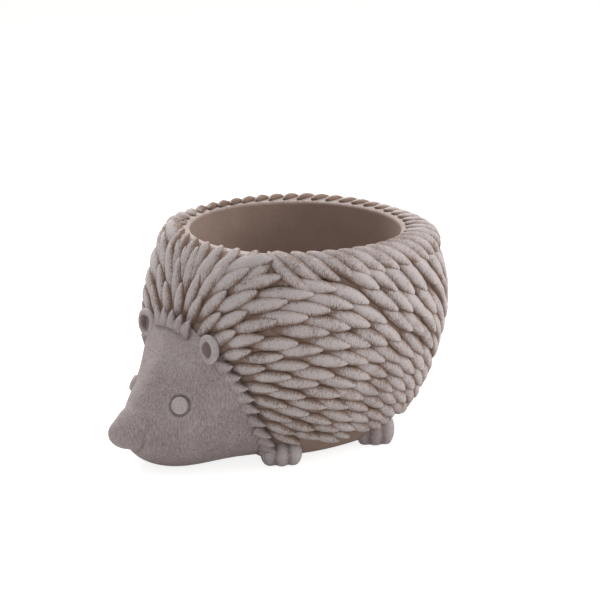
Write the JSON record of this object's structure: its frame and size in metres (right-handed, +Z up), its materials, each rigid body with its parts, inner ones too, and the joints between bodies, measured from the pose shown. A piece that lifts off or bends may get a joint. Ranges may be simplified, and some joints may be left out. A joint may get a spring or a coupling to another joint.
{
  "type": "animal shaped planter",
  "caption": "Cast planter in the shape of a hedgehog, with a round planting hole in its back, a coat of raised quills and a drain bung.",
  "frame": {"origin": "on the ground under the middle of the whole animal", "axes": "+Z up, +Y from nose to tail, +X to the animal's left"},
  "size_m": [0.1841, 0.2462, 0.1456],
  "materials": {
    "cast_body": "matte, rough cast cement",
    "cast_quills": "matte cast cement with a pale dry-brushed wash",
    "bung_rubber": "matte"
  },
  "bodies": {
    "planter": {"crown_quills": "cast_quills", "face": "cast_body", "face_fringe": "cast_body", "front_left_paw": "cast_body", "front_right_paw": "cast_body", "left_ear": "cast_body", "left_eye": "cast_body", "left_flank_quills": "cast_quills", "left_haunch_quills": "cast_quills", "left_rim_quills": "cast_quills", "left_shoulder_quills": "cast_quills", "nose": "cast_body", "pot_shell": "cast_body", "rear_left_paw": "cast_body", "rear_right_paw": "cast_body", "right_ear": "cast_body", "right_eye": "cast_body", "right_flank_quills": "cast_quills", "right_haunch_quills": "cast_quills", "right_rim_quills": "cast_quills", "right_shoulder_quills": "cast_quills", "rump_quills": "cast_quills"},
    "bung": {"drain_bung": "bung_rubber"}
  },
  "joints": [
    {"name": "bung_lift", "type": "slide", "parent": "planter", "child": "bung", "axis": [0, 0, 1], "range_m": [0, 0.014]}
  ]
}
